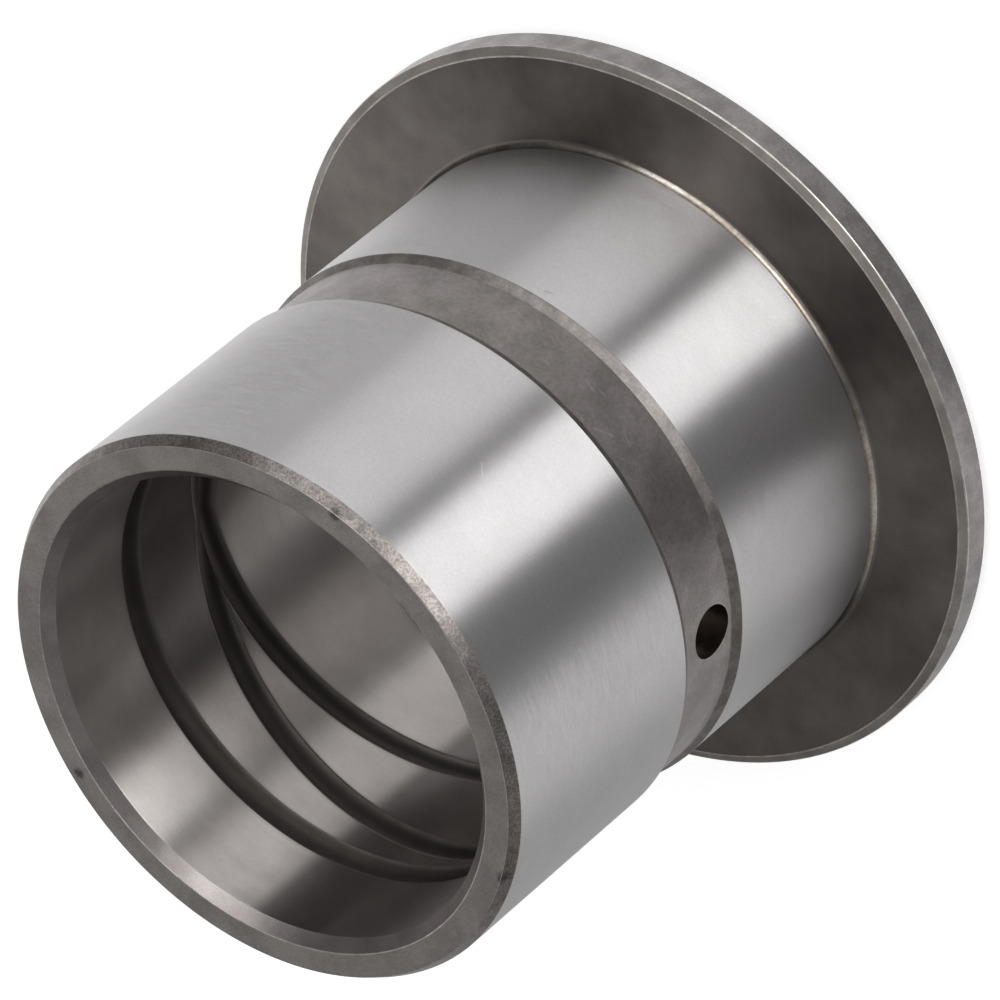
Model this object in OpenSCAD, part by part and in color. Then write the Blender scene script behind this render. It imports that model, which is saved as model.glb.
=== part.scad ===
// Flanged steel bushing with an oil hole.
//
// One turned and ground piece: a plain barrel with a thick flange at one end. It is pressed
// into a housing up to the flange, and a greased pin turns in its bore.
// Grease enters through the radial oil hole in the wide groove round the barrel. Two helical
// grooves of opposite hand carry it along the bore, between two ring grooves.
//
// The origin is the middle of the flange's back face. +Z runs along the axis to the open end,
// and the oil hole is on the +X side. All sizes are in millimetres.

/* [Barrel] */
// Diameter of the bore that the pin turns in
bore_d = 85; // [70:0.5:100]
// Thickness of the barrel's wall
wall = 7.5; // [5.5:0.25:12]
// Length of the barrel, from the flange's front face to the open end
barrel_length = 102.5; // [92:0.5:130]
// Chamfer at both ends of the bore, the same along and across
bore_chamfer = 2; // [0.5:0.25:2.5]
// Length of the lead-in taper at the barrel's open end
lead_in_length = 2; // [1:0.25:6]
// Angle of the lead-in taper to the axis, in degrees
lead_in_angle = 30; // [15:1:35]

/* [Flange] */
// How far the flange stands out from the barrel
flange_width = 18; // [8:0.5:30]
// Thickness of the flange
flange_thickness = 7.5; // [5:0.25:15]
// Chamfer round the flange's back face, the same along and across
flange_back_chamfer = 2; // [0.5:0.25:3]
// Width of the shallow bevel round the flange's front face
flange_bevel_width = 1.6; // [0.5:0.1:3]
// Drop of that bevel at the rim
flange_bevel_drop = 0.65; // [0.2:0.05:1.5]
// Radius of the fillet between the barrel and the flange
fillet_r = 1.2; // [0.5:0.1:3]

/* [Supply groove round the barrel] */
// Middle of the groove, from the open end
supply_groove_from_end = 55.8; // [48:0.1:64]
// Width of the groove at its mouth
supply_groove_width = 16; // [12:0.5:20]
// Depth of the groove
supply_groove_depth = 1; // [0.5:0.1:2]
// Length along the axis of each sloping side
supply_groove_slope = 1.65; // [0.2:0.05:2]

/* [Oil hole] */
// Diameter of the hole
oil_hole_d = 9.3; // [5:0.1:11]
// How far the hole lies from the groove's middle, towards the flange
oil_hole_offset = 0.9; // [0:0.1:1]
// Width of the broken edge round the hole's mouth
oil_hole_edge = 0.4; // [0.1:0.1:0.8]

/* [Grease grooves in the bore] */
// Radius of the round-nosed tool that cuts the grooves
grease_tool_r = 2.8; // [2:0.1:3.5]
// Depth of the two ring grooves
ring_groove_depth = 1.6; // [1:0.1:2]
// Depth of the two helical grooves, less than that of the ring grooves that they end in
helical_groove_depth = 1.4; // [0.5:0.1:1.5]
// Middle of the first ring groove, from the open end
ring_groove_from_end = 22.2; // [16:0.1:28]
// How far the helical grooves cross past the middle of the oil hole, towards the flange
crossing_offset = 5.2; // [0:0.1:6]

/* [Hidden] */

steel = [0.62, 0.61, 0.60];
round_steps = 240;          // facets of the round surfaces in a quick view
clear = 1;                  // how far a cutter stands out of what it cuts

bore_r = bore_d / 2;
barrel_r = bore_r + wall;
flange_r = barrel_r + flange_width;
overall_length = flange_thickness + barrel_length;
lead_in_width = lead_in_length * tan(lead_in_angle);

supply_groove_z = overall_length - supply_groove_from_end;
supply_groove_r = barrel_r - supply_groove_depth;
oil_hole_z = supply_groove_z - oil_hole_offset;

// The helical grooves start at the first ring groove on the oil hole's side, cross on the
// far side after half a turn, cross beside the oil hole after a full turn, and end in the
// second ring groove after a turn and a half.
first_ring_z = overall_length - ring_groove_from_end;
crossing_z = oil_hole_z - crossing_offset;
half_turns = 3;
half_turn_advance = (first_ring_z - crossing_z) / 2;
second_ring_z = first_ring_z - half_turns * half_turn_advance;

half_turn = 180;
// The step and the run-in keep the sections of the two grooves apart where they cross.
helix_step = 6;             // degrees between the sections of a helical groove
helix_run_in = 4;           // degrees that it runs on inside each ring groove
nose_steps = 8;             // facets across its rounded floor

// Half section of the blank: bore on the left, flange at the bottom.
module blank_section() {
    polygon([
        [bore_r, bore_chamfer],
        [bore_r + bore_chamfer, 0],
        [flange_r - flange_back_chamfer, 0],
        [flange_r, flange_back_chamfer],
        [flange_r, flange_thickness - flange_bevel_drop],
        [flange_r - flange_bevel_width, flange_thickness],
        [barrel_r, flange_thickness],
        [barrel_r, overall_length - lead_in_length],
        [barrel_r - lead_in_width, overall_length],
        [bore_r + bore_chamfer, overall_length],
        [bore_r, overall_length - bore_chamfer]
    ]);
}

// Section of the fillet in the corner of barrel and flange, a little sunk into both.
module fillet_section() {
    overlap = fillet_r / 2;
    difference() {
        translate([barrel_r - overlap, flange_thickness - overlap])
            square(overlap + fillet_r);
        translate([barrel_r + fillet_r, flange_thickness + fillet_r])
            circle(fillet_r);
    }
}

module turned_blank() {
    rotate_extrude($fn = round_steps) {
        blank_section();
        fillet_section();
    }
}

// The wide shallow groove round the barrel, with sloping sides.
module supply_groove() {
    half_mouth = supply_groove_width / 2;
    half_floor = half_mouth - supply_groove_slope;
    translate([0, 0, supply_groove_z])
        rotate_extrude($fn = round_steps)
            polygon([
                [supply_groove_r, -half_floor],
                [barrel_r, -half_mouth],
                [barrel_r + clear, -half_mouth],
                [barrel_r + clear, half_mouth],
                [barrel_r, half_mouth],
                [supply_groove_r, half_floor]
            ]);
}

// A round-bottomed ring groove in the bore, as deep as the tool is set into the wall.
module ring_groove(z) {
    translate([0, 0, z])
        rotate_extrude($fn = round_steps)
            translate([bore_r + ring_groove_depth - grease_tool_r, 0])
                circle(grease_tool_r, $fn = round_steps);
}

// Place along the axis of a helical groove that has turned by this many degrees.
function helix_z(turned) =
    first_ring_z
    - half_turn_advance * min(max(turned, 0), half_turns * half_turn) / half_turn;

// Cutter for one helical groove: the nose of the round tool swept round the bore.
module helical_groove() {
    tool_axis_r = bore_r + helical_groove_depth - grease_tool_r;
    turns_end = half_turns * half_turn + helix_run_in;
    // The nose reaches a little into the open bore at each side of the groove.
    wall_angle = acos((grease_tool_r - helical_groove_depth) / grease_tool_r);
    nose_angle = (wall_angle + 90) / 2;
    nose = [
        for (i = [0 : nose_steps])
            let (a = nose_angle * (2 * i / nose_steps - 1))
            [tool_axis_r + grease_tool_r * cos(a), grease_tool_r * sin(a)]
    ];
    turned = [for (a = [-helix_run_in : helix_step : turns_end]) a];
    n = len(nose);
    last = len(turned) - 1;
    points = [
        for (a = turned, p = nose)
            [p[0] * cos(a), p[0] * sin(a), helix_z(a) + p[1]]
    ];
    sides = [
        for (s = [0 : last - 1], i = [0 : n - 1])
            let (j = (i + 1) % n)
            each [
                [s * n + i, s * n + j, (s + 1) * n + i],
                [s * n + j, (s + 1) * n + j, (s + 1) * n + i]
            ]
    ];
    ends = [
        [for (i = [n - 1 : -1 : 0]) i],
        [for (i = [0 : n - 1]) last * n + i]
    ];
    polyhedron(points, concat(sides, ends), convexity = 10);
}

// The radial oil hole, from the floor of the supply groove into the bore.
module oil_hole() {
    edge_depth = oil_hole_edge;
    translate([0, 0, oil_hole_z])
        rotate([0, 90, 0]) {
            translate([0, 0, bore_r - clear - ring_groove_depth])
                cylinder(h = wall + 2 * clear + ring_groove_depth, d = oil_hole_d,
                         $fn = round_steps);
            translate([0, 0, supply_groove_r - edge_depth])
                cylinder(h = 2 * edge_depth, d1 = oil_hole_d,
                         d2 = oil_hole_d + 4 * oil_hole_edge, $fn = round_steps);
        }
}

// The piece as it leaves the lathe and the drill, before the helical grooves are cut.
module turned_piece() {
    difference() {
        turned_blank();
        supply_groove();
        ring_groove(first_ring_z);
        ring_groove(second_ring_z);
        oil_hole();
    }
}

module bushing() {
    color(steel)
        difference() {
            turned_piece();
            helical_groove();
            mirror([0, 1, 0])
                helical_groove();
        }
}

bushing();
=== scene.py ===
# %% [markdown]
# # A flanged steel bushing
#
# This lesson dresses one turned steel part: a bushing with a flange, a wide groove round its
# barrel, an oil hole, and crossing grease grooves in its bore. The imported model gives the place
# and the size. We model a smoother copy of the same form, give each machined face its own
# finish, and light it so that the ground steel shows its long bright and dark bands.

# %% The frame
import math

import bpy
import numpy as np
from mathutils import Matrix, Vector


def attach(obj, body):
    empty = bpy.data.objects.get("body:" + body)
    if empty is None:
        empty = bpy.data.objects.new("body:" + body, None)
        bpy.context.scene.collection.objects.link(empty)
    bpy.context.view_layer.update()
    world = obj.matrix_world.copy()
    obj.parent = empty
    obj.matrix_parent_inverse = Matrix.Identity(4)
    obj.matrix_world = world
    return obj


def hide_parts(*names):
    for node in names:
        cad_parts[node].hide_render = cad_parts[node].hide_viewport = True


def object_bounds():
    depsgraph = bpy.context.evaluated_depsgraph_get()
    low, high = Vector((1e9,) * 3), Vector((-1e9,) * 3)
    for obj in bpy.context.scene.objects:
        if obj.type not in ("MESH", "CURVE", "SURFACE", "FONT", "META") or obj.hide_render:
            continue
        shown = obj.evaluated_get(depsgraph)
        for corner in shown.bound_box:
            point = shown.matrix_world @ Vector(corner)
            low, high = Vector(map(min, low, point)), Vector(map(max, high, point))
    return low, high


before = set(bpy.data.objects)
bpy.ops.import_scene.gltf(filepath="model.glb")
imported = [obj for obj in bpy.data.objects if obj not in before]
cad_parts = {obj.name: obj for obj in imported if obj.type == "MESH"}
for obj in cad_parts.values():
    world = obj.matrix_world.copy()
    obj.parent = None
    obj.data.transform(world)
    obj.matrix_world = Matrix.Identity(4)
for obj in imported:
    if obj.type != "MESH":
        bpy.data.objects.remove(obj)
cad_low, cad_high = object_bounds()
MM = 0.001
print("packed model spans", [round(v / MM, 2) for v in cad_high - cad_low], "mm")

# %% [markdown]
# ## The camera
#
# The photograph looks down on the part along a long lens, so its circles are almost true
# ellipses. The camera could be placed by hand, but here it is set by the angles that a
# photographer would note: how far round the part it stands, how high, how far it is rolled
# over, and how far away it is. The oil hole lies on the +X side of the part.

# %% The camera
camera_round = math.radians(47.621)
camera_height = math.radians(41.224)
camera_roll = math.radians(-129.554)
camera_distance = 1.53211
camera_target = Vector((-0.001464, 0.001336, 0.041386))

camera_data = bpy.data.cameras.new("photo_camera")
camera_data.lens = 334.749
camera_data.sensor_width = 36
camera_data.clip_start = 0.1
camera_data.clip_end = 20
camera = bpy.data.objects.new("photo_camera", camera_data)
bpy.context.scene.collection.objects.link(camera)
towards_camera = Vector((
    math.cos(camera_round) * math.cos(camera_height),
    math.sin(camera_round) * math.cos(camera_height),
    math.sin(camera_height),
))
upright = (-towards_camera).to_track_quat("-Z", "Y").to_matrix()
rolled = Matrix.Rotation(camera_roll, 3, towards_camera) @ upright
camera.matrix_world = Matrix.Translation(
    camera_target + camera_distance * towards_camera
) @ rolled.to_4x4()
bpy.context.scene.camera = camera
print("camera at", [round(v, 3) for v in camera.matrix_world.translation])

# %% [markdown]
# ## A small kit for node trees
#
# Every finish below is built from nodes. Adding a node takes several lines each time, so one
# helper adds a node, sets its choices and fills or links its sockets. A few more give the
# steps that come back in each finish: noise, a straight ramp between two values, and a mix.

# %% The node kit
def colour(red, green, blue):
    """A colour as read from a screen, 0 to 255, turned into the linear values of a shader."""
    linear = [
        v / 12.92 if v <= 0.04045 else ((v + 0.055) / 1.055) ** 2.4
        for v in (red / 255, green / 255, blue / 255)
    ]
    return (*linear, 1.0)


def add(tree, kind, inputs=None, **choices):
    """Adds a node, sets its choices, and fills or links its sockets."""
    made = tree.nodes.new(kind)
    for name, value in choices.items():
        setattr(made, name, value)
    for name, value in (inputs or {}).items():
        if isinstance(value, bpy.types.NodeSocket):
            tree.links.new(value, made.inputs[name])
        else:
            made.inputs[name].default_value = value
    return made


def maths(tree, operation, *values):
    """One Math node, and the socket that it gives."""
    return add(tree, "ShaderNodeMath", dict(enumerate(values)), operation=operation).outputs[0]


def span(tree, value, low, high, to_low=0.0, to_high=1.0, smooth=False):
    """The value's place between low and high, carried over to another range and held there."""
    kind = "SMOOTHSTEP" if smooth else "LINEAR"
    sockets = {
        "Value": value, "From Min": low, "From Max": high, "To Min": to_low, "To Max": to_high,
    }
    return add(tree, "ShaderNodeMapRange", sockets, interpolation_type=kind).outputs["Result"]


def noise(tree, place, scale, detail, roughness):
    """Cloudy noise between 0 and 1."""
    sockets = {"Vector": place, "Scale": scale, "Detail": detail, "Roughness": roughness}
    return add(tree, "ShaderNodeTexNoise", sockets).outputs["Fac"]


def mix_colour(tree, amount, first, second):
    """Two colours mixed by an amount between 0 and 1."""
    sockets = {"Factor": amount, 6: first, 7: second}
    return add(tree, "ShaderNodeMix", sockets, data_type="RGBA").outputs[2]


# %% [markdown]
# ## The studio
#
# Polished steel is a mirror, so its look is the look of the room. A round barrel turns the
# room into bands along its length: each strip of the barrel shows one direction, at twice its
# own angle from the camera. The photograph's bands therefore say where the light panels of its
# studio may have stood. We could model each panel as a plane, but then the bands would bend
# along the barrel. Most of them are straight, so the panels are taken as far away, and a world
# shader with one brightness for each direction is the right tool. Each panel lies between two
# bearings from the camera's side and two heights, in degrees, and its light is added to a dim
# room. The two rear panels meet straight behind, where the bearing jumps from 180 to -180, so
# the line between them is hard, and both lands show it from the back. Only the camera sees the
# world as plain white: if the steel saw it so too, every face would mirror the same white and
# the bands would be gone.

# %% The room, as one brightness for each direction
scene = bpy.context.scene
world = bpy.data.worlds.new("studio")
scene.world = world
world.use_nodes = True
world.cycles.sampling_method = "NONE"
tree = world.node_tree
tree.nodes.clear()
direction = add(tree, "ShaderNodeTexCoord").outputs["Generated"]
turned = add(
    tree, "ShaderNodeMapping", {"Vector": direction, "Rotation": (0, 0, -camera_round)}
).outputs[0]
compass = add(tree, "ShaderNodeSeparateXYZ", {0: turned})
towards_front = compass.outputs["X"]
bearing = maths(tree, "ARCTAN2", compass.outputs["Y"], towards_front)
bearing = maths(tree, "MULTIPLY", bearing, math.degrees(1))
height = maths(tree, "ARCSINE", compass.outputs["Z"])
height = maths(tree, "MULTIPLY", height, math.degrees(1))


def panel(bearings, heights, strength, soft_side=6, soft_end=8):
    """A light panel between two bearings and two heights, in degrees, with soft edges."""
    side = soft_side / 2
    end = soft_end / 2
    left = span(tree, bearing, bearings[0] - side, bearings[0] + side, smooth=True)
    right = span(tree, bearing, bearings[1] + side, bearings[1] - side, smooth=True)
    low = span(tree, height, heights[0] - end, heights[0] + end, smooth=True)
    high = span(tree, height, heights[1] + end, heights[1] - end, smooth=True)
    across = maths(tree, "MULTIPLY", left, right)
    along = maths(tree, "MULTIPLY", low, high)
    return maths(tree, "MULTIPLY", maths(tree, "MULTIPLY", across, along), strength)


# %% The panels
panels = {
    "key": panel((-15, 14), (-12, 24), 5.9),
    "key_flank": panel((-34, -14), (-14, 8), 0.30, soft_side=10),
    "key_low": panel((-15, 15), (-100, -12), 0.10),
    "side": panel((27, 66), (8, 60), 2.3),
    "side_low": panel((26, 66), (-100, -4), 0.62),
    "left_wall": panel((-165, -56), (-100, -8), 0.48, soft_side=8),
    "left_bright": panel((-96, -56), (-60, 10), 0.34, soft_side=20, soft_end=20),
    "left_high": panel((-165, -40), (18, 62), 0.14, soft_side=16, soft_end=12),
    "right_wall": panel((68, 170), (-100, -8), 0.70, soft_side=16),
    "right_bright": panel((126, 170), (-80, 0), 0.38, soft_side=20),
    "right_high": panel((138, 178), (5, 60), 0.50, soft_side=16, soft_end=16),
    "rear_right": panel((170, 400), (-100, -5), 0.90, soft_side=10),
    "rear_left": panel((-400, -165), (-100, -5), 0.45, soft_side=10),
    "overhead": panel((-400, 400), (68, 100), 0.50, soft_end=20),
}
dim_behind = 0.14
dim_in_front = 0.16
room = span(tree, towards_front, -0.6, 0.6, dim_behind, dim_in_front)
for light in panels.values():
    room = maths(tree, "ADD", room, light)
print("panels in the room:", len(panels))
light_path = add(tree, "ShaderNodeLightPath")
seen = mix_colour(tree, light_path.outputs["Is Camera Ray"], room, (1, 1, 1, 1))
background = add(tree, "ShaderNodeBackground", {"Color": seen, "Strength": 1.0})
add(tree, "ShaderNodeOutputWorld", {"Surface": background.outputs[0]})

# %% [markdown]
# ## The floor and its lamp
#
# The photograph's ground is plain white, with no edge in sight. The floor is a wide pale plane
# under the flange. Most of its white is its own, so that it looks the same in every corner,
# and the rest comes from one large soft lamp, which leaves a faint shadow where the part
# stands. The floor lies a tenth of a millimetre below the flange, so that the two faces don't
# share one plane. Its own white is meant for mirrors and glass as well, but the floor is hidden
# from glossy rays, so the steel doesn't see it, and the room's panels stand in for it there.

# %% Floor and lamp
floor_width = 12
floor_drop = 0.1 * MM
bpy.ops.object.select_all(action="DESELECT")
bpy.ops.mesh.primitive_plane_add(size=floor_width, location=(0, 0, -floor_drop))
floor = bpy.context.object
floor.name = "floor"
floor.visible_glossy = False
floor_paint = bpy.data.materials.new("floor_white")
floor_paint.use_nodes = True
tree = floor_paint.node_tree
tree.nodes.clear()
own_share = 0.72
lit_grey = (0.5, 0.5, 0.5, 1)
light_path = add(tree, "ShaderNodeLightPath")
shiny_ray = maths(
    tree, "MAXIMUM", light_path.outputs["Is Glossy Ray"], light_path.outputs["Is Transmission Ray"]
)
seen_ray = maths(tree, "MAXIMUM", light_path.outputs["Is Camera Ray"], shiny_ray)
own_light = maths(tree, "MULTIPLY", seen_ray, own_share)
own_white = add(tree, "ShaderNodeEmission", {"Strength": own_light})
lit_white = add(tree, "ShaderNodeBsdfDiffuse", {"Color": lit_grey})
floor_mix = add(tree, "ShaderNodeAddShader", {0: own_white.outputs[0], 1: lit_white.outputs[0]})
add(tree, "ShaderNodeOutputMaterial", {"Surface": floor_mix.outputs[0]})
floor.data.materials.append(floor_paint)

lamp_data = bpy.data.lights.new("soft_top", "AREA")
lamp_data.shape = "DISK"
lamp_data.size = 1.6
lamp_data.energy = 9
lamp = bpy.data.objects.new("soft_top", lamp_data)
scene.collection.objects.link(lamp)
lamp.location = (0.5, -0.2, 1.7)
lamp.rotation_euler = (Vector((0, 0, 0)) - lamp.location).to_track_quat("-Z", "Y").to_euler()
lamp.visible_glossy = False
lamp.visible_camera = False

scene.view_settings.view_transform = "Standard"
print("floor and lamp ready")

# %% [markdown]
# ## The sizes of the bushing
#
# These are the part's sizes in millimetres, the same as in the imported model. The photograph
# gives their proportions but no scale, so the absolute size is an estimate. Where two faces
# meet, the real piece has no sharp line: the turner breaks each edge by a few tenths, and that
# small round catches the light as a thin bright line. So each corner of the section gets a
# radius of its own.

# %% Sizes, in millimetres
bore_r = 42.5
barrel_r = 50.0
flange_r = 68.0
overall_length = 110.0
flange_thickness = 7.5
bore_chamfer = 2.0
lead_in_length = 2.0
lead_in_degrees = 30
lead_in_width = lead_in_length * math.tan(math.radians(lead_in_degrees))
flange_back_chamfer = 2.0
flange_bevel_width = 1.6
flange_bevel_drop = 0.65
fillet_r = 1.2
supply_groove_from_end = 55.8
supply_groove_depth = 1.0
supply_groove_z = overall_length - supply_groove_from_end
supply_groove_r = barrel_r - supply_groove_depth
supply_groove_half = 8.0
supply_groove_slope = 1.65
oil_hole_r = 4.65
oil_hole_offset = 0.9
oil_hole_z = supply_groove_z - oil_hole_offset
grease_tool_r = 2.8
ring_groove_depth = 1.6
helical_groove_depth = 1.4
ring_groove_from_end = 22.2
crossing_offset = 5.2
first_ring_z = overall_length - ring_groove_from_end
crossing_z = oil_hole_z - crossing_offset
half_turn_advance = (first_ring_z - crossing_z) / 2
helix_half_turns = 3
second_ring_z = first_ring_z - helix_half_turns * half_turn_advance
packed_length = (cad_high.z - cad_low.z) / MM
packed_width = (cad_high.x - cad_low.x) / MM
print("length", overall_length, "packed", round(packed_length, 3))
print("flange", 2 * flange_r, "packed", round(packed_width, 3))

# %% [markdown]
# ## The half section
#
# A turned part is one outline spun round its axis, so the outline is where its quality is
# decided. It could be drawn point by point, but then each round would be a guess. Here only
# the corners are listed, each with the radius of its broken edge, and a helper puts the arc
# in. The two ring grooves are arcs of the round-nosed tool that cut them.

# %% The outline of the half section
def arc(centre, radius, start, end, steps):
    """Points along an arc, with both ends. Angles are in degrees."""
    return [
        (
            centre[0] + radius * math.cos(math.radians(start + (end - start) * i / steps)),
            centre[1] + radius * math.sin(math.radians(start + (end - start) * i / steps)),
        )
        for i in range(steps + 1)
    ]


def ring_groove(z, edge):
    """Corners of one ring groove: its two edges and the tool's arc between them."""
    nose_centre = (bore_r + ring_groove_depth - grease_tool_r, z)
    wall_angle = math.degrees(math.acos((bore_r - nose_centre[0]) / grease_tool_r))
    points = arc(nose_centre, grease_tool_r, wall_angle, -wall_angle, steps=20)
    rounds = [edge] + [0] * (len(points) - 2) + [edge]
    return [(r, h, size) for (r, h), size in zip(points, rounds)]


def supply_groove_corners(edge, corner):
    """Corners of the wide groove round the barrel, from its flange side up."""
    half_floor = supply_groove_half - supply_groove_slope
    return [
        (barrel_r, supply_groove_z - supply_groove_half, edge),
        (supply_groove_r, supply_groove_z - half_floor, corner),
        (supply_groove_r, supply_groove_z + half_floor, corner),
        (barrel_r, supply_groove_z + supply_groove_half, edge),
    ]


corners = [
    (bore_r + bore_chamfer, 0, 0.2),
    (flange_r - flange_back_chamfer, 0, 0.3),
    (flange_r, flange_back_chamfer, 0.3),
    (flange_r, flange_thickness - flange_bevel_drop, 0.35),
    (flange_r - flange_bevel_width, flange_thickness, 0.8),
    (barrel_r, flange_thickness, fillet_r),
    *supply_groove_corners(0.3, 0.5),
    (barrel_r, overall_length - lead_in_length, 0.25),
    (barrel_r - lead_in_width, overall_length, 0.25),
    (bore_r + bore_chamfer, overall_length, 0.4),
    (bore_r, overall_length - bore_chamfer, 0.25),
    *ring_groove(first_ring_z, 0.45),
    *ring_groove(second_ring_z, 0.45),
    (bore_r, bore_chamfer, 0.25),
]
print("corners in the section:", len(corners))

# %% Broken edges
def broken(corners, arc_step=15):
    """The outline with each corner that has a radius replaced by an arc."""
    outline = []
    for index, (r, z, radius) in enumerate(corners):
        here = Vector((r, z))
        if radius == 0:
            outline.append((r, z))
            continue
        back = (Vector(corners[index - 1][:2]) - here).normalized()
        on = (Vector(corners[(index + 1) % len(corners)][:2]) - here).normalized()
        opening = back.angle(on)
        reach = radius / math.tan(opening / 2)
        middle = here + (back + on).normalized() * radius / math.sin(opening / 2)
        first = here + back * reach - middle
        last = here + on * reach - middle
        steps = max(2, round(math.degrees(first.angle(last)) / arc_step))
        start = math.atan2(first.y, first.x)
        sweep = math.atan2(first.cross(last), first.dot(last))
        for step in range(steps + 1):
            angle = start + sweep * step / steps
            point_r = middle.x + radius * math.cos(angle)
            point_z = middle.y + radius * math.sin(angle)
            outline.append((point_r, point_z))
    return outline


outline = broken(corners)
print("points in the outline:", len(outline))

# %% [markdown]
# ## Turning the blank
#
# On the bench a lathe turns the bar against the tool. In Blender the outline is drawn as a
# chain of edges, one extruded point after another, and the Spin operator carries the chain
# round the axis. A screw modifier would do the same, but Spin leaves plain mesh at once. The
# start and end of the full turn are merged, and the normals are worked out afresh because a
# spun shape can come out inside out.

# %% Draw and spin the outline
round_steps = 360


def only(piece):
    """Makes this piece the only one selected and the active one."""
    bpy.ops.object.select_all(action="DESELECT")
    piece.select_set(True)
    bpy.context.view_layer.objects.active = piece


def drawn_chain(name, points, height=0):
    """A new piece with a chain of edges in the XZ plane, all selected. Leaves edit mode on."""
    bpy.ops.object.select_all(action="DESELECT")
    bpy.ops.mesh.primitive_plane_add(size=0.001, location=(0, 0, 0))
    piece = bpy.context.object
    piece.name = name
    bpy.ops.object.mode_set(mode="EDIT")
    bpy.ops.mesh.select_all(action="SELECT")
    bpy.ops.mesh.merge(type="CENTER")
    bpy.ops.transform.translate(value=(points[0][0] * MM, 0, (points[0][1] + height) * MM))
    for before, after in zip(points, points[1:]):
        step = ((after[0] - before[0]) * MM, 0, (after[1] - before[1]) * MM)
        bpy.ops.mesh.extrude_vertices_move(TRANSFORM_OT_translate={"value": step})
    bpy.ops.mesh.select_all(action="SELECT")
    return piece


bushing = drawn_chain("bushing_turned", outline)
bpy.ops.mesh.spin(
    steps=round_steps, angle=2 * math.pi, center=(0, 0, 0), axis=(0, 0, 1), use_auto_merge=True
)
bpy.ops.object.mode_set(mode="OBJECT")
print("after the spin:", len(bushing.data.vertices), "points")

# %% Close the outline and merge the seam
bpy.ops.object.mode_set(mode="EDIT")
bpy.ops.mesh.select_all(action="SELECT")
bpy.ops.mesh.remove_doubles(threshold=0.000001)
bpy.ops.mesh.select_all(action="DESELECT")
bpy.ops.mesh.select_non_manifold(extend=False)
bpy.ops.mesh.bridge_edge_loops()
bpy.ops.mesh.select_all(action="SELECT")
bpy.ops.mesh.normals_make_consistent(inside=False)
bpy.ops.object.mode_set(mode="OBJECT")
print("turned blank:", len(bushing.data.polygons), "faces")

# %% [markdown]
# ## The helical grease grooves
#
# Two grooves of opposite hand wind down the bore, one and a half turns each, from the first
# ring groove to the second. They cross opposite the oil hole and again beside it. The real
# ones are cut by a round-nosed tool that travels along the bore as the piece turns, so the
# cutter is made the same way: the section of the tool is drawn, and a Screw modifier carries
# it round and down at once. The section flares a little where it meets the bore, which gives
# the groove the soft edge that polishing leaves. Both ends run out into the deeper ring
# grooves. They keep their slope there, so each one cuts about half a millimetre past the ring
# groove's edge and leaves a small nick, and one of those can be seen from the back. A mirrored
# copy cuts the other hand.

# %% The section of the groove tool
def tool_section(depth, flare):
    """Half of the tool's outline, from the open bore to the bottom of the groove."""
    nose_r = bore_r + depth - grease_tool_r
    wall_angle = math.degrees(math.acos((grease_tool_r - depth) / grease_tool_r))
    nose = arc((nose_r, 0), grease_tool_r, wall_angle - 3, 0, 9)
    edge_z = grease_tool_r * math.sin(math.radians(wall_angle))
    shoulder = [
        (bore_r - 0.6, edge_z + 2.6 * flare),
        (bore_r - 0.02, edge_z + 0.9 * flare),
        (bore_r + 0.35 * flare, edge_z + 0.1 * flare),
    ]
    return shoulder + nose


half_section = tool_section(helical_groove_depth, flare=0.3)
section = half_section + [(r, -z) for r, z in reversed(half_section[:-1])]
print("points in the tool's section:", len(section))

# %% Carry the section along the helix
helix_steps_in_turn = 240
run_in_degrees = 6


def helical_cutter(name, hand):
    """The tool's section carried down the bore. The hand is 1 or -1."""
    piece = drawn_chain(name, section, first_ring_z)
    bpy.ops.mesh.edge_face_add()
    bpy.ops.mesh.delete(type="ONLY_FACE")
    bpy.ops.mesh.select_all(action="SELECT")
    lead = half_turn_advance * run_in_degrees / 180
    bpy.ops.transform.rotate(
        value=math.radians(hand * run_in_degrees), orient_axis="Z", center_override=(0, 0, 0)
    )
    bpy.ops.transform.translate(value=(0, 0, lead * MM))
    bpy.ops.object.mode_set(mode="OBJECT")
    screw = piece.modifiers.new("helix", "SCREW")
    turned_degrees = helix_half_turns * 180 + 2 * run_in_degrees
    screw.angle = math.radians(hand * turned_degrees)
    screw.screw_offset = -half_turn_advance * turned_degrees / 180 * MM
    screw.steps = round(helix_steps_in_turn * turned_degrees / 360)
    screw.render_steps = screw.steps
    bpy.ops.object.modifier_apply(modifier=screw.name)
    bpy.ops.object.mode_set(mode="EDIT")
    bpy.ops.mesh.select_all(action="DESELECT")
    bpy.ops.mesh.select_non_manifold(extend=False)
    bpy.ops.mesh.fill_holes(sides=0)
    bpy.ops.mesh.select_all(action="SELECT")
    bpy.ops.mesh.normals_make_consistent(inside=False)
    bpy.ops.object.mode_set(mode="OBJECT")
    return piece


def cut_away(piece, cutter):
    """Cuts the cutter's shape out of the piece and deletes the cutter."""
    only(piece)
    cut = piece.modifiers.new("cut", "BOOLEAN")
    cut.operation = "DIFFERENCE"
    cut.solver = "MANIFOLD"
    cut.object = cutter
    bpy.ops.object.modifier_apply(modifier=cut.name)
    bpy.data.objects.remove(cutter)


for name, hand in (("right_hand_helix", 1), ("left_hand_helix", -1)):
    cutter = helical_cutter(name, hand)
    print(name, "has", len(cutter.data.polygons), "faces")
    cut_away(bushing, cutter)
print("after the helical grooves:", len(bushing.data.polygons), "faces")

# %% [markdown]
# ## The oil hole
#
# A radial hole is drilled through the wall in the wide groove. Its mouth has a small broken
# edge of even width, which shows in the photograph as a thin bright ring. A cylinder cuts the
# hole, and the edge is then made with the Bevel operator on the ring of edges at the outer
# mouth. The mouth in the bore stays as the drill leaves it.

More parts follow.
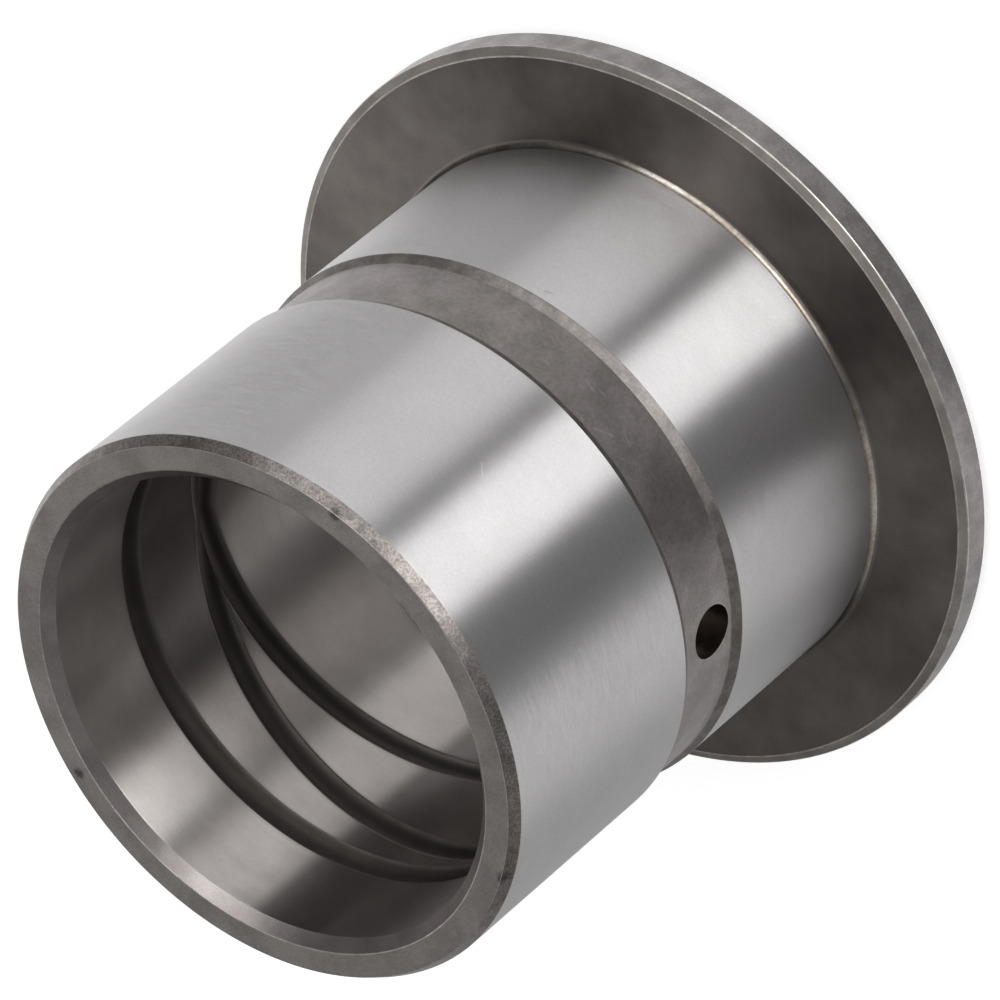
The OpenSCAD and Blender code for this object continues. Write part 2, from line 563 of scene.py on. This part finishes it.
# %% Drill the oil hole and break its outer edge
hole_steps = 96
drill_length = 20
hole_edge = 0.28
bpy.ops.object.select_all(action="DESELECT")
bpy.ops.mesh.primitive_cylinder_add(
    vertices=hole_steps,
    radius=oil_hole_r * MM,
    depth=drill_length * MM,
    location=((bore_r + barrel_r) / 2 * MM, 0, oil_hole_z * MM),
    rotation=(0, math.radians(90), 0),
)
drill = bpy.context.object
only(drill)
bpy.ops.object.transform_apply(location=True, rotation=True, scale=True)
cut_away(bushing, drill)
print("after drilling:", len(bushing.data.polygons), "faces")


def points_of(piece):
    """The piece's points in millimetres, as an array."""
    flat = np.empty(len(piece.data.vertices) * 3, np.float32)
    piece.data.vertices.foreach_get("co", flat)
    return flat.reshape(-1, 3) / MM


def select_edges(piece, wanted):
    """Selects the edges whose two points are both wanted, and leaves edit mode on."""
    only(piece)
    bpy.ops.object.mode_set(mode="EDIT")
    bpy.ops.mesh.select_mode(type="EDGE")
    bpy.ops.mesh.select_all(action="DESELECT")
    bpy.ops.object.mode_set(mode="OBJECT")
    ends = np.empty(len(piece.data.edges) * 2, np.int32)
    piece.data.edges.foreach_get("vertices", ends)
    chosen = wanted[ends.reshape(-1, 2)].all(axis=1)
    piece.data.edges.foreach_set("select", chosen)
    bpy.ops.object.mode_set(mode="EDIT")
    return int(chosen.sum())


places = points_of(bushing)
from_hole_axis = np.hypot(places[:, 1], places[:, 2] - oil_hole_z)
round_r = np.hypot(places[:, 0], places[:, 1])
on_hole = (abs(from_hole_axis - oil_hole_r) < 0.01) & (places[:, 0] > 0)
outer_mouth = on_hole & (abs(round_r - supply_groove_r) < 0.02)
found = select_edges(bushing, outer_mouth)
bpy.ops.mesh.bevel(offset=hole_edge * MM, segments=3, profile=0.5, clamp_overlap=True)
bpy.ops.mesh.select_mode(type="VERT")
bpy.ops.object.mode_set(mode="OBJECT")
print("edges at the outer mouth:", found)

# %% [markdown]
# ## Shading
#
# The long lands are mirrors, so a normal that is off by half a degree shows as a bent band.
# Smooth shading by angle keeps the groove edges sharp, and weighted normals keep the long
# faces straight beside their small broken edges. What is left is the sideways error next to
# the cuts. On a turned face every normal points straight out from the axis, or straight at
# it, so each one is turned to its own point's bearing.

# %% Smooth the piece and straighten its normals
only(bushing)
bpy.ops.object.shade_smooth_by_angle(angle=math.radians(32))
weighted = bushing.modifiers.new("weighted", "WEIGHTED_NORMAL")
weighted.keep_sharp = True
weighted.weight = 90
bpy.ops.object.modifier_apply(modifier=weighted.name)
mesh = bushing.data


def read(items, name, width, kind=np.float32):
    """One property of many mesh items, as an array with a row for each."""
    flat = np.empty(len(items) * width, kind)
    items.foreach_get(name, flat)
    return flat.reshape(-1, width) if width > 1 else flat


centres = read(mesh.polygons, "center", 3) / MM
normals = read(mesh.polygons, "normal", 3)
corner_point = read(mesh.loops, "vertex_index", 1, np.int32)
corner_normals = read(mesh.corner_normals, "vector", 3)
corner_count = read(mesh.polygons, "loop_total", 1, np.int32)
face_of_corner = np.repeat(np.arange(len(centres)), corner_count)

face_r = np.hypot(centres[:, 0], centres[:, 1])
face_z = centres[:, 2]
outward = (centres[:, 0] * normals[:, 0] + centres[:, 1] * normals[:, 1]) / face_r
upward = normals[:, 2]
sideways = (centres[:, 0] * normals[:, 1] - centres[:, 1] * normals[:, 0]) / face_r
is_turned = abs(sideways) < 0.02

places = points_of(bushing)[corner_point]
bearing_of_corner = np.arctan2(places[:, 1], places[:, 0])
length_across = np.hypot(corner_normals[:, 0], corner_normals[:, 1])
way = np.where(outward[face_of_corner] < 0, -1.0, 1.0)
straight = np.stack([
    way * length_across * np.cos(bearing_of_corner),
    way * length_across * np.sin(bearing_of_corner),
    corner_normals[:, 2],
], axis=1)
to_straighten = is_turned[face_of_corner]
corner_normals[to_straighten] = straight[to_straighten]
mesh.normals_split_custom_set(corner_normals.tolist())
print("straightened", int(to_straighten.sum()), "of", len(corner_normals), "corner normals")

# %% [markdown]
# ## Finishes
#
# One bar of steel, but every tool leaves its own skin on it. The lands and the bore are
# ground, the faces are turned, the grooves keep the dark oily skin of the heat treatment, and
# the flange face is darker, with two patches of painted light. All finishes share one pattern:
# the lay, which is the direction of the tool marks. A lathe's marks run round the part, so
# noise is stretched round the axis: it changes fast along the axis and across the radius, and
# slowly round the part. On the ground faces the marks are too fine to see one by one, but
# together they smear a reflection along the axis. The shader's anisotropy does that: its
# tangent runs round the part, and a quarter turn lays the smear along the axis.

# %% Shared parts of every finish
lay_stretch = 9
lay_scale = 0.11  # close to 1 / lay_stretch, so that a mark keeps its size along the axis
quarter_turn = 0.25


def new_finish(name):
    """A new material with an empty shader, and its tree and object coordinates."""
    finish = bpy.data.materials.new(name)
    finish.use_nodes = True
    tree = finish.node_tree
    tree.nodes.clear()
    place = add(tree, "ShaderNodeTexCoord").outputs["Object"]
    return finish, tree, place


def lay(tree, place):
    """Coordinates that turn noise into tool marks round the axis."""
    parts = add(tree, "ShaderNodeSeparateXYZ", {0: place})
    flat = add(tree, "ShaderNodeCombineXYZ", {"X": parts.outputs["X"], "Y": parts.outputs["Y"]})
    radius = add(
        tree, "ShaderNodeVectorMath", {0: flat.outputs[0]}, operation="LENGTH"
    ).outputs["Value"]
    across = maths(tree, "ADD", parts.outputs["Z"], radius)
    return add(tree, "ShaderNodeCombineXYZ", {
        "X": parts.outputs["X"],
        "Y": parts.outputs["Y"],
        "Z": maths(tree, "MULTIPLY", across, lay_stretch),
    }).outputs[0]


def steel_surface(tree, base, roughness, height, bump_depth, spread):
    """The metal shader with its colour, roughness and bump, linked to the output."""
    bump = add(
        tree, "ShaderNodeBump", {"Height": height, "Distance": bump_depth * MM, "Strength": 1.0}
    )
    metal = add(tree, "ShaderNodeBsdfPrincipled", {
        "Base Color": base,
        "Metallic": 1.0,
        "Roughness": roughness,
        "Anisotropic": spread,
        "Anisotropic Rotation": quarter_turn,
        "Normal": bump.outputs[0],
    })
    if spread > 0:
        round_part = add(tree, "ShaderNodeTangent", direction_type="RADIAL", axis="Z")
        tree.links.new(round_part.outputs[0], metal.inputs["Tangent"])
    add(tree, "ShaderNodeOutputMaterial", {"Surface": metal.outputs[0]})


def scaled(tree, tone, factor):
    """A colour made lighter or darker by a factor that may change over the surface."""
    return add(
        tree, "ShaderNodeVectorMath", {0: tone, "Scale": factor}, operation="SCALE"
    ).outputs[0]


def machined(
    name, light, dark, rough, cloud_size, mark_size, mark_depth,
    mark_tone=0.03, grain_size=0.5, grain_tone=0.03, spread=0.0, wear_and_painted_light=(),
):
    """
    A machined finish. The sizes are in millimetres. Soft clouds lie between the two tones,
    tool marks run round the axis, and a fine grain goes over both. Each pattern in the list,
    of wear or of painted light and shade, darkens or lightens the result by a factor.
    """
    finish, tree, place = new_finish(name)
    marks_place = lay(tree, place)
    tool_marks = noise(tree, marks_place, lay_scale / (mark_size * MM), 3.0, 0.6)
    clouds = noise(tree, place, 1 / (cloud_size * MM), 3.0, 0.55)
    cloudy = span(tree, clouds, 0.3, 0.7, smooth=True)
    grain = noise(tree, place, 1 / (grain_size * MM), 2.0, 0.6)
    base = mix_colour(tree, cloudy, colour(*dark), colour(*light))
    base = scaled(tree, base, span(tree, tool_marks, 0.25, 0.75, 1 - mark_tone, 1 + mark_tone))
    base = scaled(tree, base, span(tree, grain, 0.35, 0.65, 1 - grain_tone, 1 + grain_tone))
    for pattern in wear_and_painted_light:
        base = scaled(tree, base, pattern(tree, place))
    roughness = span(tree, tool_marks, 0.3, 0.7, rough - 0.03, rough + 0.03)
    relief = maths(tree, "ADD", tool_marks, maths(tree, "MULTIPLY", grain, grain_tone * 3))
    steel_surface(tree, base, roughness, relief, mark_depth, spread)
    return finish


# %% [markdown]
# ## Wear, and painted light and shade
#
# Use leaves its own marks over the machining: old grease that creeps out of the grooves, a
# darker patch beside the oil hole, dark dents in the edges, and scratches. Some patterns here
# are painted light and shade instead: darker sides of the bore, lighter patches on the flange,
# two highlights in the flange's corner, and shade on the lower slopes of the grease grooves.
# They could be painted on an image, but an image blurs up close and has to be unwrapped. Each
# is a small pattern of nodes instead, worked out from the distance to a known place: the line
# of a groove, a spot, or a short straight scratch. Some of the dark patches may be reflections
# in the photograph, which can't be told from stains there.

# %% Old grease beside the grooves, and painted shade inside them
def grease_film(tree, place):
    """A soft dark band along each side of the grease grooves."""
    full_tone_within = 2.4
    gone_beyond = 3.5
    film_tone = 0.82
    out_of_reach = 100
    parts = add(tree, "ShaderNodeSeparateXYZ", {0: place})
    height = maths(tree, "DIVIDE", parts.outputs["Z"], MM)
    turned = maths(tree, "ARCTAN2", parts.outputs["Y"], parts.outputs["X"])
    advance = maths(tree, "MULTIPLY", turned, half_turn_advance / math.pi)
    from_start = maths(tree, "SUBTRACT", height, first_ring_z)
    nearest = maths(tree, "ABSOLUTE", from_start)
    to_second = maths(tree, "ABSOLUTE", maths(tree, "SUBTRACT", height, second_ring_z))
    nearest = maths(tree, "MINIMUM", nearest, to_second)
    above = maths(tree, "GREATER_THAN", from_start, 0)
    below = maths(tree, "LESS_THAN", height, second_ring_z)
    past_ends = maths(tree, "MULTIPLY", maths(tree, "ADD", above, below), out_of_reach)
    for hand in ("ADD", "SUBTRACT"):
        along = maths(tree, hand, from_start, advance)
        to_groove = maths(
            tree, "ABSOLUTE", maths(tree, "WRAP", along, half_turn_advance, -half_turn_advance)
        )
        nearest = maths(tree, "MINIMUM", nearest, maths(tree, "ADD", to_groove, past_ends))
    return span(tree, nearest, full_tone_within, gone_beyond, film_tone, 1.0, smooth=True)


def groove_tone_and_painted_shade(tree, place):
    """Lighter near a groove's edge and low in the bore, below about 40 mm; painted shade darkens
    the lower slope, which faces up.
    """
    edge_tone = 2.5
    low_tone = 3.2
    lightest_tone = 4.0
    flat = add(tree, "ShaderNodeVectorMath", {0: place, 1: (1, 1, 0)}, operation="MULTIPLY")
    radius = add(
        tree, "ShaderNodeVectorMath", {0: flat.outputs[0]}, operation="LENGTH"
    ).outputs["Value"]
    edge = span(
        tree, radius, (bore_r + 0.02) * MM, (bore_r + 0.85) * MM, edge_tone, 1.0, smooth=True
    )
    slope = add(
        tree, "ShaderNodeSeparateXYZ", {0: add(tree, "ShaderNodeTexCoord").outputs["Normal"]}
    ).outputs["Z"]
    # Painted shade: faces of the groove that look up are made darker.
    upward_slope_shade = span(tree, slope, 0.05, 0.6, 1.0, 0.5, smooth=True)
    height = add(tree, "ShaderNodeSeparateXYZ", {0: place}).outputs["Z"]
    lighter_low = span(tree, height, 39 * MM, 46 * MM, low_tone, 1.0, smooth=True)
    lighter = maths(tree, "MINIMUM", maths(tree, "MULTIPLY", edge, lighter_low), lightest_tone)
    return maths(tree, "MULTIPLY", lighter, upward_slope_shade)


# %% Places on the part
def barrel_place(bearing_degrees, z, r):
    """A place on the part, in metres, from its bearing to the camera's side and its height."""
    angle = camera_round + math.radians(bearing_degrees)
    return Vector((r * math.cos(angle), r * math.sin(angle), z)) * MM


def distance_from(tree, place, point):
    """How far the shaded place lies from a point, in metres."""
    return add(
        tree, "ShaderNodeVectorMath", {0: place, 1: point}, operation="DISTANCE"
    ).outputs["Value"]


# %% Painted shade, painted light and patches
def bore_painted_shade(tree, place):
    """Painted shade: the bore is darker on one side, and on the other side most between 70 and 84
    mm up, in place of the shaded floor that the bore would mirror.
    """
    towards_side = barrel_place(-90, 0, 1).normalized()
    across = add(
        tree, "ShaderNodeVectorMath", {0: place, 1: towards_side}, operation="DOT_PRODUCT"
    ).outputs["Value"]
    height = add(tree, "ShaderNodeSeparateXYZ", {0: place}).outputs["Z"]
    one_side = span(tree, across, 22.5 * MM, 25.5 * MM, 1.0, 0.48, smooth=True)
    share = span(tree, across, -6 * MM, -14 * MM, smooth=True)
    upper_end = span(tree, height, 84 * MM, 94 * MM, 0.68, 0.18, smooth=True)
    lower_end = span(tree, height, 61 * MM, 70 * MM, 0.62, 1.0, smooth=True)
    loss = maths(tree, "MULTIPLY", share, maths(tree, "MULTIPLY", upper_end, lower_end))
    return maths(tree, "MULTIPLY", one_side, maths(tree, "SUBTRACT", 1.0, loss))


def patches(tree, place, z, spots):
    """Soft round patches: bearing, radius, reach of the full tone and of the fade, and tone."""
    result = 1.0
    for bearing_degrees, r, full, end, tone in spots:
        away = distance_from(tree, place, barrel_place(bearing_degrees, z, r))
        patch = span(tree, away, full * MM, end * MM, tone, 1.0, smooth=True)
        result = maths(tree, "MULTIPLY", result, patch)
    return result


def flange_painted_light_and_patch(tree, place):
    """Painted light: two broad patches of the flange are lighter where more light falls on it. One
    patch on the camera's side of the barrel is darker.
    """
    spots = ((105, 60, 10, 50, 2.1), (-3, 62, 6, 26, 0.52), (-45, 60, 8, 32, 1.7))
    return patches(tree, place, flange_thickness, spots)


def corner_painted_highlights(tree, place):
    """The corner of the flange is dark, with two stretches painted lighter as highlights."""
    spots = ((12, barrel_r, 15, 25, 2.8), (-49, barrel_r, 9, 22, 3.8))
    return patches(tree, place, flange_thickness, spots)


def groove_stains(tree, place):
    """A patch of the wide groove beside the oil hole is darker."""
    return patches(tree, place, oil_hole_z, ((-23, supply_groove_r, 3, 15, 0.62),))


# %% Dents and scratches
def dents(tree, place):
    """Four dark dents in the edges of the open end, with ragged outlines."""
    ragged = add(tree, "ShaderNodeTexNoise", {"Vector": place, "Scale": 1500.0, "Detail": 2.0})
    shift = add(
        tree, "ShaderNodeVectorMath", {0: ragged.outputs["Color"], "Scale": 1.2 * MM},
        operation="SCALE",
    ).outputs[0]
    moved = add(
        tree, "ShaderNodeVectorMath", {0: place, 1: shift}, operation="SUBTRACT"
    ).outputs[0]
    mean_shift = Vector((0.6, 0.6, 0.6)) * MM
    spots = ((20, 48.7, 1.3), (11, 49.7, 1.1), (-65, 49.3, 1.5), (166, 46.9, 1.2))
    result = 1.0
    for bearing_degrees, r, size in spots:
        middle = barrel_place(bearing_degrees, overall_length, r) - mean_shift
        away = distance_from(tree, moved, middle)
        factor = span(tree, away, size * 0.3 * MM, size * 1.2 * MM, 0.35, 1.0, smooth=True)
        result = maths(tree, "MULTIPLY", result, factor)
    return result


def scratch(tree, place, start, end, width, tone):
    """One straight scratch between two places. Its tone is how much lighter it is."""
    line = end - start
    from_start = add(
        tree, "ShaderNodeVectorMath", {0: place, 1: start}, operation="SUBTRACT"
    ).outputs[0]
    share = add(
        tree, "ShaderNodeVectorMath", {0: from_start, 1: line / line.length_squared},
        operation="DOT_PRODUCT",
    ).outputs["Value"]
    share = span(tree, share, 0, 1)
    foot = add(
        tree, "ShaderNodeVectorMath", {0: line, "Scale": share}, operation="SCALE"
    ).outputs[0]
    away = add(
        tree, "ShaderNodeVectorMath", {0: from_start, 1: foot}, operation="DISTANCE"
    ).outputs["Value"]
    return span(tree, away, 0, width * MM, tone, 1.0, smooth=True)


def land_scratches(tree, place):
    """A light scratch on the first land and a dark nick on the second."""
    light_start = barrel_place(7.7, 84.4, barrel_r)
    light_end = barrel_place(9.6, 82.6, barrel_r)
    dark_start = barrel_place(27.6, 44.2, barrel_r)
    dark_end = barrel_place(26.6, 43.9, barrel_r)
    light = scratch(tree, place, light_start, light_end, width=0.2, tone=1.35)
    dark = scratch(tree, place, dark_start, dark_end, width=0.4, tone=0.75)
    return maths(tree, "MULTIPLY", light, dark)


def groove_scratches(tree, place):
    """Short light scratches on the floor of the wide groove, bearing and height of both ends."""
    result = 1.0
    for start, end in (
        ((6.6, 52.9), (4.7, 52.8)), ((5.8, 59.6), (4.0, 60.0)), ((9.6, 53.4), (6.5, 53.8)),
        ((1.7, 59.5), (-1.7, 57.2)), ((-3.3, 55.0), (-5.3, 55.4)), ((-11.5, 54.9), (-13.2, 54.8)),
    ):
        line_start = barrel_place(*start, supply_groove_r)
        line_end = barrel_place(*end, supply_groove_r)
        line = scratch(tree, place, line_start, line_end, width=0.3, tone=1.28)
        result = maths(tree, "MULTIPLY", result, line)
    return result


# %% The ground surfaces
finishes = {
    "ground_land": machined(
        "ground_land", (207, 205, 205), (203, 201, 201), rough=0.35, cloud_size=18,
        mark_size=0.5, mark_depth=0.0006, mark_tone=0.02, grain_size=0.45, grain_tone=0.04,
        spread=1.0, wear_and_painted_light=(land_scratches,),
    ),
    "bore": machined(
        "bore", (233, 227, 224), (215, 209, 206), rough=0.35, cloud_size=14,
        mark_size=0.6, mark_depth=0.0006, mark_tone=0.03, grain_size=0.6, grain_tone=0.02,
        # The bore's last pattern is painted shade on its sides.
        spread=1.0, wear_and_painted_light=(grease_film, bore_painted_shade),
    ),
}

# %% The turned faces
finishes["end_face"] = machined(
    "end_face", (178, 172, 169), (158, 152, 149), rough=0.42, cloud_size=8,
    mark_size=0.25, mark_depth=0.003, mark_tone=0.04, grain_size=0.3, grain_tone=0.12,
    wear_and_painted_light=(dents,),
)
finishes["edge_chamfer"] = machined(
    "edge_chamfer", (168, 161, 159), (148, 142, 140), rough=0.34, cloud_size=6,
    mark_size=0.25, mark_depth=0.003, grain_size=0.3, grain_tone=0.08,
)
finishes["lead_in"] = machined(
    "lead_in", (140, 134, 131), (118, 112, 109), rough=0.38, cloud_size=2.5,
    mark_size=0.3, mark_depth=0.008, grain_size=0.38, grain_tone=0.32, wear_and_painted_light=(dents,),
)
finishes["worn_edge"] = machined(
    "worn_edge", (218, 212, 208), (184, 178, 174), rough=0.38, cloud_size=2,
    mark_size=0.3, mark_depth=0.002, grain_size=0.3, grain_tone=0.14,
)
finishes["flange_face"] = machined(
    "flange_face", (121, 116, 112), (101, 96, 93), rough=0.44, cloud_size=15,
    mark_size=0.35, mark_depth=0.003, mark_tone=0.03, grain_size=0.5, grain_tone=0.04,
    # The flange's pattern paints light on two patches and darkens one.
    wear_and_painted_light=(flange_painted_light_and_patch,),
)
finishes["bevel"] = machined(
    "bevel", (182, 175, 169), (156, 150, 145), rough=0.40, cloud_size=8,
    mark_size=1.1, mark_depth=0.003, mark_tone=0.15, grain_size=0.4, grain_tone=0.06,
)
finishes["rim"] = machined(
    "rim", (162, 158, 157), (140, 136, 135), rough=0.42, cloud_size=4,
    mark_size=0.4, mark_depth=0.004, mark_tone=0.04, grain_size=0.5, grain_tone=0.07,
)
finishes["back_face"] = machined(
    "back_face", (168, 164, 162), (150, 146, 144), rough=0.38, cloud_size=14,
    mark_size=0.35, mark_depth=0.003, mark_tone=0.05, grain_size=0.4, grain_tone=0.06,
)
finishes["fillet"] = machined(
    "fillet", (134, 129, 124), (102, 94, 86), rough=0.40, cloud_size=6,
    # The fillet's pattern paints two highlights on its dark tone.
    mark_size=0.3, mark_depth=0.002, grain_size=0.5, grain_tone=0.16, wear_and_painted_light=(corner_painted_highlights,),
)

# %% The dark surfaces
finishes["supply_groove"] = machined(
    "supply_groove", (148, 142, 140), (131, 126, 124), rough=0.44, cloud_size=5,
    mark_size=0.35, mark_depth=0.004, mark_tone=0.03, grain_size=0.7, grain_tone=0.09,
    wear_and_painted_light=(groove_scratches, groove_stains),
)
finishes["groove_wall"] = machined(
    "groove_wall", (142, 137, 134), (116, 111, 108), rough=0.48, cloud_size=3,
    mark_size=0.35, mark_depth=0.006, mark_tone=0.08, grain_size=0.45, grain_tone=0.11,
)
finishes["grease_groove"] = machined(
    "grease_groove", (104, 99, 96), (96, 91, 88), rough=0.55, cloud_size=6,
    # The groove's pattern paints shade on the lower slopes and makes the edges lighter.
    mark_size=0.4, mark_depth=0.002, grain_size=0.4, grain_tone=0.05, wear_and_painted_light=(groove_tone_and_painted_shade,),
)
finishes["oil_hole"] = machined(
    "oil_hole", (84, 74, 67), (64, 56, 51), rough=0.45, cloud_size=3,
    mark_size=0.4, mark_depth=0.004, grain_size=0.4, grain_tone=0.10,
)
print("finishes:", ", ".join(finishes))

# %% [markdown]
# ## Which face gets which finish
#
# The finish could be chosen by hand, face by face. It is quicker and surer to choose by place:
# how far a face lies from the axis, how high it lies, and which way it looks.

# %% Choose faces by their place
face_from_hole = np.hypot(centres[:, 1], face_z - oil_hole_z)
near_hole = (face_from_hole < oil_hole_r + 0.35) & (centres[:, 0] > 0)
lead_in_z = overall_length - lead_in_length
groove_low = supply_groove_z - supply_groove_half - 0.12
groove_high = supply_groove_z + supply_groove_half + 0.12
in_supply = (face_r > supply_groove_r - 0.4) & (face_z > groove_low) & (face_z < groove_high)
outside = outward > 0
near_end = (face_z < bore_chamfer + 0.1) | (face_z > overall_length - bore_chamfer - 0.1)
clear_of_ends = 15
past_deepest_groove = 1.9
between_ends = (face_z > clear_of_ends) & (face_z < overall_length - clear_of_ends)
in_bore_wall = between_ends & (face_r < bore_r + past_deepest_groove)
bevel_r = flange_r - flange_bevel_width
zones = {
    "ground_land": np.ones(len(centres), bool),
    "bore": (face_r < bore_r + 0.1) & ~outside,
    "edge_chamfer": (face_r < bore_r + bore_chamfer + 0.2) & (abs(upward) > 0.2) & near_end,
    "end_face": (face_z > overall_length - 0.1) & (upward > 0.9),
    "lead_in": (face_z > lead_in_z) & outside & (upward < 0.9),
    "grease_groove": (face_r > bore_r + 0.01) & in_bore_wall,
    "supply_groove": in_supply & outside & (abs(face_r - barrel_r) + abs(upward) > 0.02),
    "flange_face": (face_z > flange_thickness - 0.01) & (face_z < flange_thickness + 0.02)
    & (upward > 0.9) & (face_r > barrel_r)
    | (face_z > flange_thickness) & (face_z < flange_thickness + fillet_r) & (upward >= 0.8),
    "fillet": (face_z > flange_thickness + 0.005) & (face_z < flange_thickness + fillet_r)
    & (upward > 0.1) & (upward < 0.8),
    "groove_wall": in_supply & outside & (abs(upward) > 0.1) & ~near_hole,
    "rim": (face_r > bevel_r - 0.05) & (face_z > 0.1),
    "bevel": (face_r > bevel_r - 0.05) & (face_z > flange_thickness - 0.75) & (upward > 0.5),
    "back_face": (upward < -0.9) & (face_z < 0.1),
    "worn_edge": (face_z > overall_length - 0.2) & (upward > 0.75) & (upward < 0.99)
    | (face_r > bevel_r - 0.5) & (face_z > 6) & (upward > 0.05) & (upward < 0.9)
    | (face_r > bevel_r - 0.5) & (face_z > 7) & (upward > 0.94) & (upward < 0.998)
    | near_hole & (face_r > 48) & outside & (outward < 0.97) & (abs(upward) + abs(sideways) > 0.2),
    "oil_hole": near_hole & (face_r > bore_r - 0.1) & (abs(outward) < 0.9)
    & (abs(sideways) + abs(upward) > 0.4),
}
bushing.data.materials.clear()
for name in zones:
    bushing.data.materials.append(finishes[name])
slot_of_face = np.zeros(len(centres), np.int32)
for slot_index, chosen in enumerate(zones.values()):
    slot_of_face[chosen] = slot_index
bushing.data.polygons.foreach_set("material_index", slot_of_face)
for slot_index, name in enumerate(zones):
    print(name, int((slot_of_face == slot_index).sum()), "faces")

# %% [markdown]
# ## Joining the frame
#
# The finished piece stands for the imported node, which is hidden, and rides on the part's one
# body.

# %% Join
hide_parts("bushing")
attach(bushing, "root")
